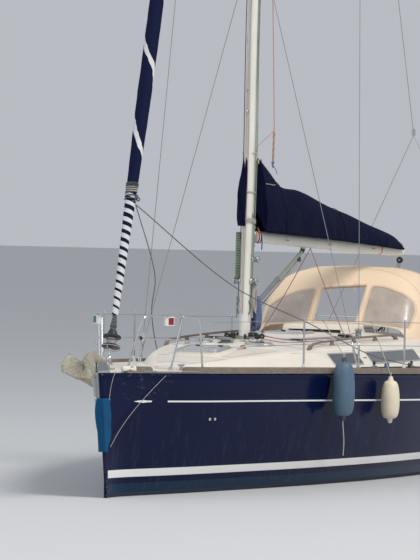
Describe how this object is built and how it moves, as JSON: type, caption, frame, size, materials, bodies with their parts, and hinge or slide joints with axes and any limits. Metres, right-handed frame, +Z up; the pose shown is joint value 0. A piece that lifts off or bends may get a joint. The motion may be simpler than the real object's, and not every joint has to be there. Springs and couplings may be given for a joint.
{
  "type": "sailing yacht",
  "caption": "Cruising sloop with navy hull, cream deck, fin keel, furled headsail, boom under a navy sail cover and a tan sprayhood.",
  "frame": {"origin": "on the centreline amidships, at the plane of the water that the boat floats on", "axes": "+X towards the bow, +Y to port, +Z up"},
  "size_m": [12.831, 3.9444, 19.2719],
  "materials": {
    "topsides": "gloss navy gelcoat, polished but dulled and scuffed near the bow",
    "gelcoat": "cream white gelcoat with slight chalking and a moulded non-slip pattern",
    "teak": "weathered bare teak, silvered grey with brown streaks",
    "stainless": "polished stainless steel tube and wire",
    "spar_alloy": "clear anodised aluminium, dulled by salt",
    "keel_iron": "cast iron under dark antifouling paint",
    "underwater": "moulded blade under matt antifouling paint",
    "engine_iron": "painted cast engine mass",
    "dark_glass": "smoke grey acrylic, polished",
    "navy_canvas": "woven acrylic canvas, matt navy",
    "tan_canvas": "woven acrylic canvas, sun-faded tan",
    "black_plastic": "moulded black nylon",
    "white_plastic": "white moulded plastic",
    "fender_blue": "inflated vinyl in a faded grey-blue cover",
    "fender_cream": "inflated vinyl, sun-yellowed white",
    "galvanised": "dull galvanised steel with light staining",
    "bronze": "cast bronze, slightly tarnished",
    "blue_sheet": "blue coated cloth, faded",
    "rope": "braided polyester rope, weathered"
  },
  "bodies": {
    "root": {"hull": "topsides", "deck": "gelcoat", "coachroof": "gelcoat", "portlight_1_port": "dark_glass", "portlight_2_port": "dark_glass", "portlight_1_starboard": "dark_glass", "portlight_2_starboard": "dark_glass", "hatch_garage": "gelcoat", "washboard": "dark_glass", "cockpit": "gelcoat", "toe_rail_port": "teak", "toe_rail_starboard": "teak", "keel": "keel_iron", "saildrive": "spar_alloy", "engine_block": "engine_iron", "stemhead": "stainless", "anchor": "galvanised", "bow_guard": "blue_sheet", "pulpit_port": "stainless", "pulpit_starboard": "stainless", "lifelines_port": "stainless", "lifelines_starboard": "stainless", "pushpit": "stainless", "grab_rail_port": "teak", "grab_rail_starboard": "teak", "mast": "spar_alloy", "spreader_lower_port": "spar_alloy", "spreader_lower_starboard": "spar_alloy", "spreader_upper_port": "spar_alloy", "spreader_upper_starboard": "spar_alloy", "cap_shroud_port": "stainless", "cap_shroud_starboard": "stainless", "lower_shroud_port": "stainless", "lower_shroud_starboard": "stainless", "forestay": "stainless", "backstay": "stainless", "mast_collar": "navy_canvas", "sprayhood": "tan_canvas", "pedestal": "white_plastic", "primary_winch_port": "stainless", "primary_winch_starboard": "stainless", "fender_blue": "fender_blue", "fender_cream": "fender_cream", "fender_tail": "rope"},
    "boom": {"boom": "spar_alloy", "boom_strut": "spar_alloy", "sail_cover": "navy_canvas"},
    "furler": {"furler_drum": "black_plastic", "furled_headsail": "navy_canvas"},
    "rudder": {"rudder": "underwater"},
    "wheel": {"steering_wheel": "stainless"},
    "propeller": {"propeller": "bronze"},
    "sliding_hatch": {"sliding_hatch": "dark_glass"},
    "fore_hatch": {"fore_hatch_lid": "dark_glass"},
    "saloon_hatch": {"saloon_hatch_lid": "dark_glass"},
    "small_hatch_port": {"small_hatch_lid_port": "dark_glass"},
    "small_hatch_starboard": {"small_hatch_lid_starboard": "dark_glass"},
    "anchor_locker": {"anchor_locker_lid": "gelcoat"},
    "seat_locker_port": {"seat_locker_lid_port": "gelcoat"},
    "seat_locker_starboard": {"seat_locker_lid_starboard": "gelcoat"}
  },
  "joints": [
    {"name": "boom_swing", "type": "hinge", "parent": "root", "child": "boom", "pos_m": [1.2971, 0, 2.87], "axis": [-0.0229, 0, 0.9997], "range_deg": [-60, 70]},
    {"name": "headsail_furl", "type": "hinge", "parent": "root", "child": "furler", "pos_m": [5.86, 0, 1.45], "axis": [-0.2916, 0, 0.9565], "continuous": true},
    {"name": "rudder_turn", "type": "hinge", "parent": "root", "child": "rudder", "pos_m": [-5.05, 0, -0.3], "axis": [0, 0, 1], "range_deg": [-35, 35]},
    {"name": "wheel_turn", "type": "hinge", "parent": "root", "child": "wheel", "pos_m": [-4.66, 0, 1.33], "axis": [1, 0, 0], "range_deg": [-360, 360]},
    {"name": "propeller_spin", "type": "hinge", "parent": "root", "child": "propeller", "pos_m": [-3.05, 0, -0.82], "axis": [1, 0, 0], "continuous": true},
    {"name": "companion_slide", "type": "slide", "parent": "root", "child": "sliding_hatch", "axis": [1, 0, 0], "range_m": [0, 0.56]},
    {"name": "fore_hatch_open", "type": "hinge", "parent": "root", "child": "fore_hatch", "pos_m": [3.1798, 0, 1.53867], "axis": [0, 1, 0], "range_deg": [0, 100]},
    {"name": "saloon_hatch_open", "type": "hinge", "parent": "root", "child": "saloon_hatch", "pos_m": [0.15014, 0, 1.69633], "axis": [0, 1, 0], "range_deg": [0, 100]},
    {"name": "small_hatch_port_open", "type": "hinge", "parent": "root", "child": "small_hatch_port", "pos_m": [2.18036, 0.38031, 1.60361], "axis": [-0.0021, 0.9981, -0.0609], "range_deg": [0, 100]},
    {"name": "small_hatch_starboard_open", "type": "hinge", "parent": "root", "child": "small_hatch_starboard", "pos_m": [2.18036, -0.38031, 1.60361], "axis": [0.0021, 0.9981, 0.0609], "range_deg": [0, 100]},
    {"name": "anchor_locker_open", "type": "hinge", "parent": "root", "child": "anchor_locker", "pos_m": [4.95, 0, 1.40382], "axis": [0, -1, 0], "range_deg": [0, 100]},
    {"name": "seat_locker_port_open", "type": "hinge", "parent": "root", "child": "seat_locker_port", "pos_m": [-3.25, 0.9, 1.07], "axis": [-1, 0, 0], "range_deg": [0, 80]},
    {"name": "seat_locker_starboard_open", "type": "hinge", "parent": "root", "child": "seat_locker_starboard", "pos_m": [-3.25, -0.9, 1.07], "axis": [1, 0, 0], "range_deg": [0, 80]}
  ],
  "couplings": [
    {"joint": "wheel_turn", "follows": "rudder_turn", "ratio": 10.286}
  ]
}
